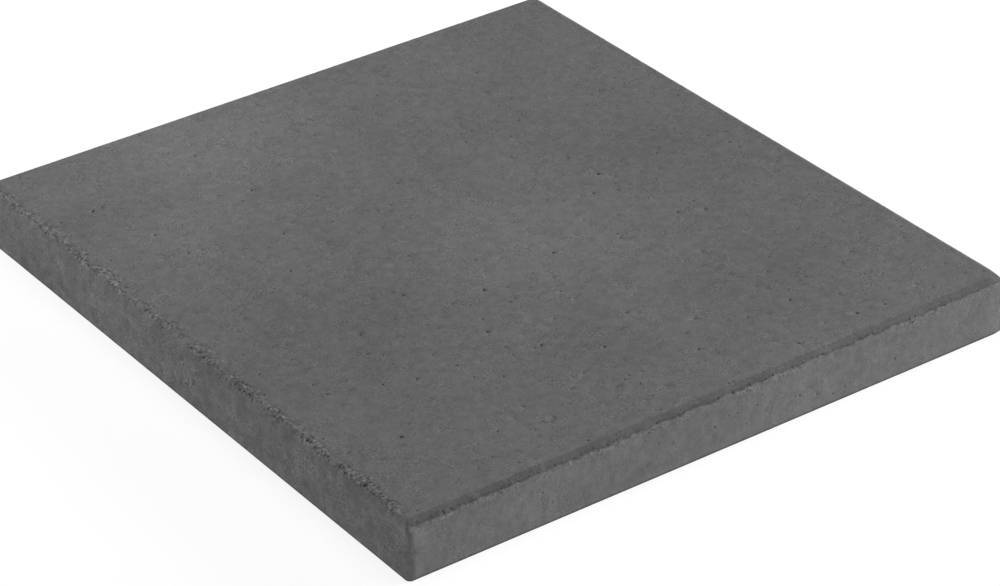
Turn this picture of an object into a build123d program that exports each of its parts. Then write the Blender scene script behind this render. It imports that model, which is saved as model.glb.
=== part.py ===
from build123d import *
import os
from math import atan2, degrees

# Wall coping slab, pressed from dark concrete as one piece. It lies bed down on a wall's top.
# Millimetres. X runs along the wall, Y across it and Z up.
# The origin is the centre of the bed face, the underside that lies in the mortar.

# The slab's block
slab_length = 500.0
slab_width = 450.0
slab_thickness = 40.0

# Upright corners, as round as the corners of the mould box
corner_radius = 3.5

# Chamfer that the stamp leaves all round the top face: its reach over the top and down the sides
chamfer_run = 4.5
chamfer_drop = 4.5

# Small round on the lower arris, where the mould box meets its base plate
bed_arris_radius = 0.8

# Drip groove in the bed face: a closed ring that stops rain from creeping in under the slab
drip_setback = 25.0
drip_mouth = 12.0
drip_crown = 8.0
drip_depth = 5.5
drip_inner_radius = 8.0
drip_crown_radius = 1.5


def mould_block() -> Part:
    """The block as the walls of the mould box shape it, with round upright corners."""
    outline = RectangleRounded(slab_length, slab_width, corner_radius)
    block = extrude(outline, amount=slab_thickness)
    lower_arris = block.faces().sort_by(Axis.Z)[0].edges()
    return fillet(lower_arris, bed_arris_radius)


def stamp_print() -> Part:
    """The space under the stamp: the chamfered top, whose four slopes meet in sharp mitres."""
    block = Box(
        slab_length,
        slab_width,
        slab_thickness,
        align=(Align.CENTER, Align.CENTER, Align.MIN),
    )
    top_face = block.faces().sort_by(Axis.Z)[-1]
    return chamfer(top_face.edges(), chamfer_run, length2=chamfer_drop, reference=top_face)


def drip_rib() -> Part:
    """The rib on the base plate that presses the drip groove: a ring with leaning flanks."""
    flank_lean = degrees(atan2((drip_mouth - drip_crown) / 2, drip_depth))
    ring_length = slab_length - 2 * drip_setback
    ring_width = slab_width - 2 * drip_setback
    core_length = ring_length - 2 * drip_mouth
    core_width = ring_width - 2 * drip_mouth
    outer = RectangleRounded(ring_length, ring_width, drip_inner_radius + drip_mouth)
    inner = RectangleRounded(core_length, core_width, drip_inner_radius)
    rib = extrude(outer, amount=drip_depth, taper=flank_lean)
    rib -= extrude(inner, amount=drip_depth, taper=-flank_lean)
    crown = rib.faces().sort_by(Axis.Z)[-1]
    return fillet(crown.edges(), drip_crown_radius)


def coping_slab() -> Part:
    """The finished slab: what box, stamp and rib leave of the pressed concrete."""
    pressed_block = mould_block() & stamp_print()
    return pressed_block - drip_rib()


os.makedirs("parts", exist_ok=True)
export_step(coping_slab(), "parts/coping_slab.step")
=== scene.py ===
import logging
import math
from collections.abc import Iterator
from dataclasses import dataclass, field
from enum import Enum

import bpy
import numpy as np
from mathutils import Matrix, Vector
from mathutils.geometry import delaunay_2d_cdt


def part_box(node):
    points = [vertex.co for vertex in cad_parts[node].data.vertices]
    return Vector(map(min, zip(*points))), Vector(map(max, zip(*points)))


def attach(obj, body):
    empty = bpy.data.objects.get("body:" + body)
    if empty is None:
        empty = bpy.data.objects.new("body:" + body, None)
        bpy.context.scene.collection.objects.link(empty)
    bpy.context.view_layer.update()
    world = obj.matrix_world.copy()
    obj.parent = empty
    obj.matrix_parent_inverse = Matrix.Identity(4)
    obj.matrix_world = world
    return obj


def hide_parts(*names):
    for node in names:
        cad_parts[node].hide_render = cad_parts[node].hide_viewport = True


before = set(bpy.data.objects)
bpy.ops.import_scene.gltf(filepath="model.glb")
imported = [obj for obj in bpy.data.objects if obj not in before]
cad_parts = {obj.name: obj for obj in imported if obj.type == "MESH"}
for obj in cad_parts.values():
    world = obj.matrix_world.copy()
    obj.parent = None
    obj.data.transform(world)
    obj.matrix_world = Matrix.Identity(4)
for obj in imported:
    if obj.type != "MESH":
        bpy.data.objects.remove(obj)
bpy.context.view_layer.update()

# Looks of a wall coping slab, pressed from anthracite concrete in one piece.
# Shapes are worked out in millimetres and stored in metres.
# X runs along the wall, Y across it, Z up, and the bed face lies at height zero.

log = logging.getLogger("coping_slab")
MM = 0.001
PER_METRE = 1000.0
IMAGE_WIDTH = 1000
NODE = "coping_slab"
BODY = "root"
WHITE = (1.0, 1.0, 1.0, 1.0)

Tree = bpy.types.NodeTree
Socket = bpy.types.NodeSocket

MATH = "ShaderNodeMath"
RANGE = "ShaderNodeMapRange"
NOISE = "ShaderNodeTexNoise"
CELLS = "ShaderNodeTexVoronoi"
MAPPING = "ShaderNodeMapping"
# Values that noise seldom leaves, and their middle
NOISE_LOW, NOISE_MIDDLE, NOISE_HIGH = 0.3, 0.5, 0.7


class Carried(Enum):
    """Numbers that each point of the skin carries, for the relief and for the finish."""

    PIT = "pit"
    CRUMBLE = "crumble"
    FRAY = "fray"
    GIRTH = "girth"
    BAND = "band"
    END = "end"
    SIDE = "side"
    WALL = "wall"
    BED = "bed"
    TONE = "tone"
    RUBBLE = "rubble"
    CORNER = "corner"
    HOLLOW = "hollow"


def linear(hex_colour: str) -> tuple[float, float, float, float]:
    """Turns an sRGB hex colour to linear light.

    Args:
        hex_colour: Six hex digits after a hash sign.

    Returns:
        Red, green, blue and a full alpha.
    """
    levels = [int(hex_colour[i:i + 2], 16) / 255 for i in (1, 3, 5)]
    light = [v / 12.92 if v <= 0.04045 else ((v + 0.055) / 1.055) ** 2.4 for v in levels]
    return (light[0], light[1], light[2], 1.0)


def add(
    tree: Tree,
    kind: str,
    sockets: dict[str | int, object] | None = None,
    out: str | int = 0,
    **settings: object,
) -> Socket:
    """Adds a node with its settings and links.

    Args:
        tree: The tree that gets the node.
        kind: The node's type name.
        sockets: Input name or number to a value, or to a socket to link from.
        out: Name or number of the output that is wanted.
        **settings: Properties of the node itself.

    Returns:
        The wanted output, or the first input of a node that has no output.
    """
    node = tree.nodes.new(kind)
    for name, value in settings.items():
        setattr(node, name, value)
    for key, value in (sockets or {}).items():
        if isinstance(value, Socket):
            tree.links.new(value, node.inputs[key])
        else:
            node.inputs[key].default_value = value
    return node.outputs[out] if len(node.outputs) else node.inputs[0]


def bell(distance: np.ndarray, reach: float) -> np.ndarray:
    """1 at no distance, about a third at the reach, and soon nothing beyond it."""
    return np.exp(-(distance / reach) ** 2)


def ramp(value: np.ndarray, start: float, end: float) -> np.ndarray:
    """0 before the start, 1 past the end, and straight between them."""
    return np.clip((value - start) / (end - start), 0, 1)


def at_least(least: float | np.ndarray, share: np.ndarray) -> np.ndarray:
    """Squeezes shares from 0 to 1 so that they start at a least one."""
    return least + (1 - least) * share


def gap_to(points: np.ndarray, place: np.ndarray | tuple[float, float] = (0.0, 0.0)) -> np.ndarray:
    """Distances of flat points from a place."""
    return np.hypot(*(points - place).T)


def crossings(x: np.ndarray, y: np.ndarray) -> np.ndarray:
    """The flat points at which two rows of lines cross."""
    return np.stack(np.meshgrid(x, y), axis=-1).reshape(-1, 2)


def strewn(rng: np.random.Generator, count: int, half: np.ndarray) -> np.ndarray:
    """Random flat places, at most half a length and half a width from the middle."""
    return (rng.random((count, 2)) * 2 - 1) * half


def by_turns(count: int) -> np.ndarray:
    """The signs of one side and the other, by turns."""
    return np.where(np.arange(count) % 2 == 0, -1.0, 1.0)


@dataclass(frozen=True)
class Outline:
    """A rectangle with round corners, walked anticlockwise from its rear left corner."""

    length: float
    width: float
    radius: float

    CORNER_SIGNS = ((-1, -1), (1, -1), (1, 1), (-1, 1))
    SEARCH_STEP = 0.1

    @property
    def arc_centre(self) -> np.ndarray:
        """Centre of the arc at the rear right corner."""
        return np.array([self.length, self.width]) / 2 - self.radius

    @property
    def arc(self) -> float:
        """Length of one corner's arc."""
        return self.radius * math.pi / 2

    @property
    def runs(self) -> list[float]:
        """Lengths of the four straight runs, in walking order."""
        across = self.width - 2 * self.radius
        along = self.length - 2 * self.radius
        return [across, along, across, along]

    @property
    def perimeter(self) -> float:
        """Length of the whole walk."""
        return sum(self.runs) + 4 * self.arc

    @property
    def starts(self) -> list[float]:
        """Distances at which the four straight runs start."""
        return [sum(self.runs[:i]) + i * self.arc for i in range(4)]

    def at(self, along: np.ndarray, inset: np.ndarray | float = 0.0) -> np.ndarray:
        """Plan points on the outline, or inside it.

        Args:
            along: Distances along the walk.
            inset: How far inside the outline the points lie.

        Returns:
            One plan point for each distance.
        """
        along = np.asarray(along, float)
        centre = np.zeros((len(along), 2))
        turn = np.zeros(len(along))
        slide = np.zeros(len(along))
        for i, (start, run) in enumerate(zip(self.starts, self.runs)):
            facing = math.pi + i * math.pi / 2
            on_run = (along >= start) & (along <= start + run)
            centre[on_run] = self.arc_centre * self.CORNER_SIGNS[i - 1]
            slide[on_run] = along[on_run] - start
            turn[on_run] = facing
            on_arc = (along > start + run) & (along <= start + run + self.arc)
            centre[on_arc] = self.arc_centre * self.CORNER_SIGNS[i]
            turn[on_arc] = facing + (along[on_arc] - start - run) / self.radius
        normal = np.column_stack([np.cos(turn), np.sin(turn)])
        tangent = np.column_stack([-normal[:, 1], normal[:, 0]])
        reach = (self.radius - np.asarray(inset) * np.ones(len(along)))[:, None]
        return centre + normal * reach + tangent * slide[:, None]

    def stations(self, spacing: float, arc_steps: int) -> np.ndarray:
        """Distances of evenly spaced stations, with every corner's arc in equal steps.

        Args:
            spacing: Distance between stations on the straight runs.
            arc_steps: Steps in each arc.

        Returns:
            Rising distances, from zero to short of the perimeter.
        """
        found = []
        for start, run in zip(self.starts, self.runs):
            steps = max(1, round(run / spacing))
            found.append(start + run * np.arange(steps) / steps)
            found.append(start + run + self.arc * np.arange(arc_steps) / arc_steps)
        return np.concatenate(found)

    def depth(self, plan: np.ndarray) -> np.ndarray:
        """How far plan points lie inside the outline."""
        beyond = np.abs(plan) - self.arc_centre
        return self.radius - gap_to(np.maximum(beyond, 0)) - np.minimum(beyond.max(axis=1), 0)

    def within(self, inset: float, radius: float) -> "Outline":
        """An outline that runs inside this one, with corners of its own."""
        return Outline(self.length - 2 * inset, self.width - 2 * inset, radius)

    def from_corner(self, along: np.ndarray) -> np.ndarray:
        """Distance along the walk to the middle of the nearest corner's arc."""
        middles = [start - self.arc / 2 for start in [*self.starts, self.perimeter]]
        return np.min([np.abs(along - middle) for middle in middles], axis=0)

    def past_arc(self, along: np.ndarray) -> np.ndarray:
        """Distance along the walk to the nearest corner's arc, zero on the arc."""
        return np.maximum(self.from_corner(along) - self.arc / 2, 0)

    def nearest(self, x: float, y: float) -> float:
        """Distance along the walk of the outline's point nearest to a plan point."""
        along = np.arange(0, self.perimeter, self.SEARCH_STEP)
        return float(along[np.argmin(gap_to(self.at(along), (x, y)))])


@dataclass(frozen=True)
class SlabForm:
    """The slab's form in millimetres, with the sizes of its construction."""

    length: float
    width: float
    thickness: float
    corner_radius: float = 3.5
    chamfer_run: float = 4.5
    chamfer_drop: float = 4.5
    border_softness: float = 0.3
    mitre_blend: float = 1.5
    bed_arris_radius: float = 0.8
    drip_setback: float = 25.0
    drip_mouth: float = 12.0
    drip_crown: float = 8.0
    drip_depth: float = 5.5
    drip_inner_radius: float = 8.0

    @classmethod
    def from_node(cls, node: str) -> "SlabForm":
        """Reads the three overall sizes from the frame.

        Args:
            node: The CAD node's name.

        Returns:
            The form, as large as the node's box.
        """
        low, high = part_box(node)
        length, width, thickness = ((high - low) / MM)[:]
        return cls(length, width, thickness)

    @property
    def half(self) -> np.ndarray:
        """Half the length and half the width."""
        return np.array([self.length, self.width]) / 2

    @property
    def slope(self) -> float:
        """Length of the chamfer's slope."""
        return math.hypot(self.chamfer_run, self.chamfer_drop)

    @property
    def outline(self) -> Outline:
        """The outline of the side faces."""
        return Outline(self.length, self.width, self.corner_radius)

    @property
    def drip_lip(self) -> Outline:
        """The drip groove's outer lip."""
        inner = self.half - self.drip_setback
        return Outline(2 * inner[0], 2 * inner[1], self.drip_inner_radius + self.drip_mouth)

    @property
    def drip_flank(self) -> float:
        """Width of each leaning flank of the drip groove."""
        return (self.drip_mouth - self.drip_crown) / 2

    def margins(self, plan: np.ndarray) -> np.ndarray:
        """Distances of plan points from the nearest end, and from the nearest long side."""
        return (self.half - np.abs(plan)).T

    def inset(self, plan: np.ndarray) -> np.ndarray:
        """Distance of plan points from the nearest side of the square-cornered block."""
        return self.margins(plan).min(axis=0)

    def endness(self, plan: np.ndarray) -> np.ndarray:
        """1 where an end of the slab is nearest, 0 where a long side is, soft at the mitres."""
        to_end, to_side = self.margins(plan)
        return ramp(to_side - to_end, -self.mitre_blend, self.mitre_blend)

    def on_end(self, plan: np.ndarray) -> np.ndarray:
        """Tells which plan points lie nearer to an end than to a long side."""
        to_end, to_side = self.margins(plan)
        return to_end < to_side

    def top_height(self, plan: np.ndarray) -> np.ndarray:
        """Height of the top face and its chamfer.

        Args:
            plan: Plan points.

        Returns:
            One height for each point, with the border between the two faces a little eased.
        """
        short = (self.chamfer_run - self.inset(plan)) / self.border_softness
        eased = self.border_softness * np.logaddexp(0, short)
        return self.thickness - eased * self.chamfer_drop / self.chamfer_run

    def bed_height(self, plan: np.ndarray) -> np.ndarray:
        """Height of the bed face, with the drip groove pressed into it.

        Args:
            plan: Plan points.

        Returns:
            One height for each point.
        """
        from_lip = self.drip_lip.depth(plan)
        from_flank = np.minimum(from_lip, self.drip_mouth - from_lip)
        return ramp(from_flank, 0, self.drip_flank) * self.drip_depth

    def girth_over_top(self, plan: np.ndarray) -> np.ndarray:
        """Measures the way up from the lower crease of the chamfer, up the slope and over the top.

        Args:
            plan: Plan points.

        Returns:
            One girth for each point.
        """
        inset = self.inset(plan)
        on_slope = np.minimum(inset, self.chamfer_run) * self.slope / self.chamfer_run
        return on_slope + np.maximum(inset - self.chamfer_run, 0)


@dataclass(frozen=True)
class Rows:
    """Rows of points, fine at an arris and coarser away from it, in millimetres."""

    first: float
    growth: float
    fine_until: float
    coarsest: float

    FIRST_OFFSET_SHARE = 0.6

    def offsets(self, until: float) -> Iterator[tuple[float, float]]:
        """Distances of the rows from the arris, each with its spacing.

        Args:
            until: The distance at which the rows end.

        Yields:
            A row's distance and the spacing of its points.
        """
        spacing, offset = self.first, self.first * self.FIRST_OFFSET_SHARE
        while offset < until:
            yield offset, spacing
            if offset > self.fine_until:
                spacing = min(spacing * self.growth, self.coarsest)
            offset += spacing


@dataclass(frozen=True)
class PoreSizes:
    """Blowholes of one kind: radii in millimetres, and how they are shaped.

    A steepness of 1 makes all sizes alike in number, and a greater one makes small pores
    the more common.
    """

    least: float
    largest: float
    steepness: float = 3.0
    stretch: float = 0.6
    turn: float = 0.0
    turn_spread: float = math.pi

    def draw(self, rng: np.random.Generator, places: np.ndarray) -> np.ndarray:
        """Gives each place a pore.

        Args:
            rng: The random source.
            places: Flat places of the pores' centres.

        Returns:
            Rows of two place numbers, radius, stretch and turn.
        """
        count = len(places)
        radius = self.least + (self.largest - self.least) * rng.random(count) ** self.steepness
        shape = 1 + self.stretch * rng.random(count)
        turn = self.turn + self.turn_spread * (rng.random(count) - 0.5)
        return np.column_stack([places, radius, shape, turn])


def apart(pores: np.ndarray, clearance: float = 0.15, collar: float = 1.45) -> np.ndarray:
    """Drops each pore that would touch an earlier one.

    Args:
        pores: Rows of two place numbers, radius, stretch and turn.
        clearance: Least gap between two collars.
        collar: How far a pore's collar reaches, in radii.

    Returns:
        The rows that stay.
    """
    reach = pores[:, 2] * np.sqrt(pores[:, 3]) * collar
    kept: list[int] = []
    for i, place in enumerate(pores[:, :2]):
        gaps = gap_to(pores[kept, :2], place) - reach[kept] - reach[i]
        if not kept or gaps.min() > clearance:
            kept.append(i)
    return pores[kept]


class Sheet:
    """A sheet of triangles over a flat domain: border, scattered points and pores.

    A pore's rings each have a share of its radius, a count of points and a share of its depth.
    """

    COLLAR = 1.35
    RINGS = ((COLLAR, 7, 0.0), (1.0, 8, 0.0), (0.72, 6, 0.75), (0.32, 3, 1.0))
    ROOM_ROUND_COLLAR = 0.3
    TOLERANCE = 1e-7
    LEAST_WOBBLE = 0.1
    MORE_WOBBLE = 0.14

    def __init__(self, rng: np.random.Generator) -> None:
        """Starts an empty sheet that draws from the random source."""
        self.rng = rng
        self.border = np.zeros((0, 2))
        self.inner = np.zeros((0, 2))
        self.pits = np.zeros(0)

    def scatter(self, points: np.ndarray, spacing: float | np.ndarray, shake: float = 0.45) -> None:
        """Adds inner points, each moved a little at random.

        Args:
            points: The points.
            spacing: Their spacing, the same for all or one for each.
            shake: How far a point may move in all, as a share of its spacing.
        """
        shift = (self.rng.random(points.shape) - 0.5) * shake * np.reshape(spacing, (-1, 1))
        self.inner = np.vstack([self.inner, points + shift])
        self.pits = np.concatenate([self.pits, np.zeros(len(points))])

    def keep(self, kept: np.ndarray) -> None:
        """Keeps only some of the inner points."""
        self.inner, self.pits = self.inner[kept], self.pits[kept]

    def clear(self, place: np.ndarray, radius: float) -> None:
        """Drops the inner points within a radius."""
        self.keep(gap_to(self.inner, place) > radius)

    def refine(self, place: np.ndarray, radius: float, spacing: float) -> None:
        """Fills a round patch with finely spaced points.

        Args:
            place: The patch's middle.
            radius: Its radius.
            spacing: Distance between its points.
        """
        self.clear(place, radius)
        steps = np.arange(-radius, radius, spacing)
        grid = crossings(steps, steps)
        self.scatter(place + grid[gap_to(grid) < radius - spacing / 2], spacing)

    def press_pores(self, pores: np.ndarray, depth_share: float) -> None:
        """Gives each pore its own rings: a level collar, a rim, a steep wall and a floor.

        Args:
            pores: Rows of two place numbers, radius, stretch and turn.
            depth_share: Depth of a pore, in radii.
        """
        added, depths = [], []
        for x, y, radius, stretch, turn in pores:
            room = radius * (self.COLLAR + self.ROOM_ROUND_COLLAR) * math.sqrt(stretch)
            self.clear(np.array([x, y]), room)
            axis = np.array([math.cos(turn), math.sin(turn)])
            across = np.array([-axis[1], axis[0]])
            phases = self.rng.random(3) * math.tau
            wobbles = self.LEAST_WOBBLE + self.MORE_WOBBLE * self.rng.random(2)
            for share, count, depth in self.RINGS:
                angle = phases[0] + np.arange(count) * math.tau / count
                uneven = 1 + wobbles[0] * np.sin(2 * angle + phases[1])
                uneven += wobbles[1] * np.sin(3 * angle + phases[2])
                reach = radius * share * uneven
                long_way = np.outer(np.cos(angle) * reach * math.sqrt(stretch), axis)
                short_way = np.outer(np.sin(angle) * reach / math.sqrt(stretch), across)
                added.append((x, y) + long_way + short_way)
                depths.append(np.full(count, depth * radius * depth_share))
        self.inner = np.vstack([self.inner, *added])
        self.pits = np.concatenate([self.pits, *depths])

    def triangles(self) -> np.ndarray:
        """Triangulates the domain inside the border.

        Returns:
            Rows of three point numbers, anticlockwise, with the border's points numbered first.
        """
        points = [Vector(p) for p in np.vstack([self.border, self.inner])]
        domain = [list(range(len(self.border)))]
        found = delaunay_2d_cdt(points, [], domain, 1, self.TOLERANCE, True)
        corners, _, faces, origins, _, within = found
        faces = np.array([list(f) for f, inside in zip(faces, within) if inside])
        flat = np.array([list(c) for c in corners])[faces]
        rows = np.array([o[0] for o in origins])[faces]
        side_a, side_b = flat[:, 1] - flat[:, 0], flat[:, 2] - flat[:, 0]
        clockwise = side_a[:, 0] * side_b[:, 1] < side_a[:, 1] * side_b[:, 0]
        rows[clockwise] = rows[clockwise][:, ::-1]
        return rows


@dataclass(frozen=True)
class Spot:
    """A soft round spot on the slab: its middle and how far it reaches, in millimetres."""

    x: float
    y: float
    z: float
    reach: float

    def share(self, places: np.ndarray) -> np.ndarray:
        """How much of the spot each place gets, from 1 at its middle to nothing far off."""
        return bell(np.linalg.norm(places - (self.x, self.y, self.z), axis=1), self.reach)


@dataclass(frozen=True)
class Knock(Spot):
    """A worn or broken spot, with how deep it goes in millimetres."""

    depth: float

    def inward(self, form: SlabForm) -> np.ndarray:
        """Finds the way into the slab.

        Args:
            form: The slab's form.

        Returns:
            A unit way that leads away from every face that the spot lies near.
        """
        near_sides = form.margins(np.array([self.x, self.y])) < form.chamfer_run
        from_sides = np.where(near_sides, -np.sign([self.x, self.y]), 0.0)
        from_bed = float(self.z < form.chamfer_drop)
        from_top = float(form.thickness - self.z < form.chamfer_drop)
        way = np.append(from_sides, from_bed - from_top)
        return way / np.linalg.norm(way)

    def push(self, places: np.ndarray, form: SlabForm) -> np.ndarray:
        """Moves that the spot gives to points, all the same way, so that nothing folds over."""
        return np.outer(self.depth * self.share(places), self.inward(form))


@dataclass(frozen=True)
class Cloud(Spot):
    """A soft patch of lighter or darker tone, with its gain."""

    gain: float


@dataclass(frozen=True)
class Strip:
    """A soft strip beside an arris: its middle's distance and its reach in millimetres, and its gain."""

    off: float
    reach: float
    gain: float = 1.0

    def share(self, distance: np.ndarray) -> np.ndarray:
        """What the strip gives at distances from the arris."""
        return self.gain * bell(distance - self.off, self.reach)


@dataclass(frozen=True)
class Weathering:
    """What pressing, stripping and handling did to this slab, with some painted light and shade, in
    millimetres.

    The long arrises lost grains along their upper border. The ends have a dark, smooth chamfer
    that is frayed along its lower crease. Places are listed. A distance past the slope
    is measured from the chamfer's upper border, and a girth from its lower crease.
    """

    # Pores
    face_pores: PoreSizes = PoreSizes(0.4, 1.0, 2.6, 0.6)
    face_pore_count: int = 470
    wall_pores: PoreSizes = PoreSizes(0.35, 0.75, 3.0)
    wall_pore_count: int = 170
    wall_pore_seam_room: float = 5.0
    wall_pore_corner_room: float = 3.0
    wall_pore_foot_room: float = 3.0
    wall_pore_rim_room: float = 2.2
    bed_pores: PoreSizes = PoreSizes(0.7, 2.2, 2.5)
    bed_pore_count: int = 90
    pore_margin: float = 6.0
    pore_rim_room_share: float = 1.6
    arris_pores: PoreSizes = PoreSizes(0.3, 0.7, 1.5, 1.2, 0.0, 1.2)
    arris_pore_gap: float = 2.4
    arris_pore_inset: float = 2.8
    arris_pore_spread: float = 3.0
    arris_pore_margin: float = 11.25
    crease_pores: PoreSizes = PoreSizes(0.25, 0.5, 1.5, 2.0, math.pi / 2, 0.6)
    crease_pore_gap: float = 9.0
    crease_pore_inset: float = 0.8
    crease_pore_spread: float = 0.9
    large_pore: float = 1.3
    large_pore_shares: tuple[float, float] = (0.7, 1.15)
    large_pore_places: tuple[tuple[float, float], ...] = (
        (140, -52), (2, -55), (-28, -124), (40, -85), (165, -23), (202, 20), (66, -42), (55, 19),
        (173, -176), (-171, -184), (62, 112), (-10, 102), (228, 122), (108, -69),
    )
    arris_hole: float = 0.85
    arris_hole_shares: tuple[float, float] = (0.5, 1.2)
    arris_hole_places: tuple[tuple[float, float], ...] = (
        (-204, -219.9), (-182, -220.3), (-119, -219.5), (-91, -215.1), (-81, -221.1), (-43, -217.2),
        (-28, -220.8), (16, -220.4), (25, -221.1), (37, -219.7), (62, -221.1), (72, -221.5),
        (78, -221.1), (106, -218), (111, -220.7), (136, -221.4), (141.5, -221), (150, -221.5),
        (157, -221), (176, -221.1), (184, -221.4), (201, -221), (209, -221.4), (217, -220.8),
        (223, -219.1),
    )
    # Broken and bared grains
    crumb_reach: float = 7.0
    crumb_least: float = 0.45
    rough_end: tuple[float, float] = (30.0, 110.0)
    rough_end_gain: float = 0.4
    far_side_crumbs: float = 0.25
    crumble_strip: Strip = Strip(0.0, 2.8)
    crumble_at_ends: float = 0.08
    torn_places: tuple[float, ...] = (
        -206, -194, -184, -159, -144, -126, -107, -83, -32, -10, 10, 20, 76, 107, 216,
    )
    torn_reach: float = 4.5
    torn_least: float = 0.45
    torn_most: float = 1.2
    fray_strip: Strip = Strip(1.5, 1.3)
    fray_on_sides: float = 0.06
    calm_slope: tuple[float, float] = (-30.0, 20.0)
    rubble_foot: float = -5.0
    rubble_foot_rise: float = 2.5
    rubble_head: float = -0.5
    rubble_reach: float = 7.0
    wall_rubble: float = 0.2
    end_rubble: Strip = Strip(-1.0, 1.6, 0.5)
    open_spot: Spot = Spot(9.0, -225.0, 24.0, 9.0)
    # Paste and tone, with painted light along the long chamfers
    paste_thins: tuple[float, float] = (30.0, 110.0)
    paste_loss: float = 0.06
    band_on_sides: float = 0.02
    # Painted light along the upper border of the long chamfers
    arris_painted_light: Strip = Strip(0.3, 1.2, 0.125)
    border_shade: Strip = Strip(4.0, 2.6, -0.09)
    end_rub: Strip = Strip(3.5, 2.5, 0.03)
    # Painted light along the lower crease of the long chamfers
    crease_painted_light: Strip = Strip(0.8, 0.9, 0.05)
    # Painted light on the long chamfers, lifting them to the walls' brightness
    slope_painted_light: float = 0.16
    slope_painted_light_foot: tuple[float, float] = (-0.7, 0.2)
    mitre_line: Strip = Strip(0.0, 0.8, 0.2)
    mitre_foot: tuple[float, float] = (-1.0, 0.5)
    mitre_head: tuple[float, float] = (1.0, 0.0)
    crack_line: Strip = Strip(0.0, 0.7, 0.2)
    crack_foot: tuple[float, float] = (27.0, 33.0)
    # Placed one by one
    knocks: tuple[Knock, ...] = (
        Knock(250, -220.8, 20.2, 1.6, 0.6),
        Knock(250, 225, 38.0, 7.0, 1.8),
        Knock(250, 225, 2.0, 6.0, 1.4),
        Knock(-250, -225, 38.0, 5.0, 1.4),
        Knock(-250, 225, 38.0, 5.0, 1.6),
        Knock(72, -221, 38.0, 4.5, 0.9),
        Knock(25, -221, 38.0, 3.0, 0.8),
        Knock(177, -221, 38.0, 3.0, 0.7),
        Knock(-13, -220, 39.0, 4.0, 0.6),
        Knock(-90, 225, 34.5, 3.5, 0.8),
        Knock(130, 225, 34.5, 3.0, 0.7),
        Knock(-250, 60, 34.5, 3.5, 0.7),
    )
    # Soft clouds of tone. The large light one at the far left of the top is tone and painted sheen, and
    # the five small dark ones under the near border, from x 39 on, are painted shade of hollows there.
    clouds: tuple[Cloud, ...] = (
        Cloud(-215, -85, 40, 85, 0.27),
        Cloud(-110, -140, 40, 50, 0.06),
        Cloud(30, 20, 40, 75, 0.14),
        Cloud(-20, 155, 40, 60, -0.09),
        Cloud(50, -121, 40, 55, -0.11),
        Cloud(125, -145, 40, 45, -0.02),
        Cloud(160, 110, 40, 50, -0.11),
        Cloud(155, -25, 40, 50, -0.07),
        Cloud(-140, -225, 12, 90, -0.1),
        Cloud(-190, -225, 8, 50, -0.16),
        Cloud(250, 110, 12, 150, 0.02),
        Cloud(230, -225, 18, 35, -0.05),
        Cloud(25, -225, 25, 40, -0.05),
        Cloud(100, -225, 30, 45, -0.04),
        Cloud(-110, -195, 40, 75, 0.13),
        Cloud(-240, 100, 40, 75, 0.06),
        Cloud(95, 155, 40, 65, -0.05),
        Cloud(-200, -204, 44, 26, 0.2),
        Cloud(20, -208, 40, 20, 0.07),
        Cloud(39, -223, 38, 4.5, -0.16),
        Cloud(77, -223, 38, 6.0, -0.18),
        Cloud(109, -223, 37, 4.0, -0.13),
        Cloud(127, -224, 36, 5.0, -0.16),
        Cloud(191, -224, 36, 8.0, -0.12),
    )

    def crumbs(self, plan: np.ndarray) -> np.ndarray:
        """How far the long arrises are broken open, most round their holes, and less at the back.

        Args:
            plan: Plan points.

        Returns:
            A share for each point.
        """
        facing = np.where(plan[:, 1:] < 0, 1.0, -1.0)
        gathered = sum(bell(gap_to(plan * facing, place), self.crumb_reach)
                       for place in self.arris_hole_places)
        least = self.crumb_least + self.rough_end_gain * ramp(-plan[:, 0], *self.rough_end)
        broken = at_least(least, np.minimum(gathered, 1.0))
        return broken * np.where(plan[:, 1] < 0, 1.0, self.far_side_crumbs)

    def placed_pores(self, rng: np.random.Generator) -> list[np.ndarray]:
        """Draws the pores whose places are listed.

        Args:
            rng: The random source.

        Returns:
            Rows of pores on the top, and rows of pores along the near arris.
        """
        found = []
        for size, shares, places in (
            (self.large_pore, self.large_pore_shares, self.large_pore_places),
            (self.arris_hole, self.arris_hole_shares, self.arris_hole_places),
        ):
            sizes = PoreSizes(size * shares[0], size * shares[1], steepness=1.0)
            found.append(sizes.draw(rng, np.array(places, float)))
        return found

    def top_pores(self, rng: np.random.Generator, form: SlabForm) -> np.ndarray:
        """All pores of the top face and its chamfers.

        Args:
            rng: The random source.
            form: The slab's form.

        Returns:
            Rows of plan place, radius, stretch and turn.
        """
        found = self.placed_pores(rng)
        reach = form.half - self.arris_pore_margin
        count = round(2 * form.length / self.arris_pore_gap)
        x = (rng.random(count) * 2 - 1) * reach[0]
        inset = self.arris_pore_inset + rng.exponential(self.arris_pore_spread, count)
        places = np.column_stack([x, by_turns(count) * (form.half[1] - inset)])
        places = places[rng.random(count) < self.crumbs(places)]
        found.append(self.arris_pores.draw(rng, places))
        count = round(2 * form.width / self.crease_pore_gap)
        y = (rng.random(count) * 2 - 1) * reach[1]
        inset = self.crease_pore_inset + self.crease_pore_spread * rng.random(count)
        places = np.column_stack([by_turns(count) * (form.half[0] - inset), y])
        found.append(self.crease_pores.draw(rng, places))
        places = strewn(rng, self.face_pore_count, form.half - self.pore_margin)
        found.append(self.face_pores.draw(rng, places))
        pores = np.vstack(found)
        clear_of_rim = form.outline.depth(pores[:, :2]) > pores[:, 2] * self.pore_rim_room_share
        return apart(pores[clear_of_rim])


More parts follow.
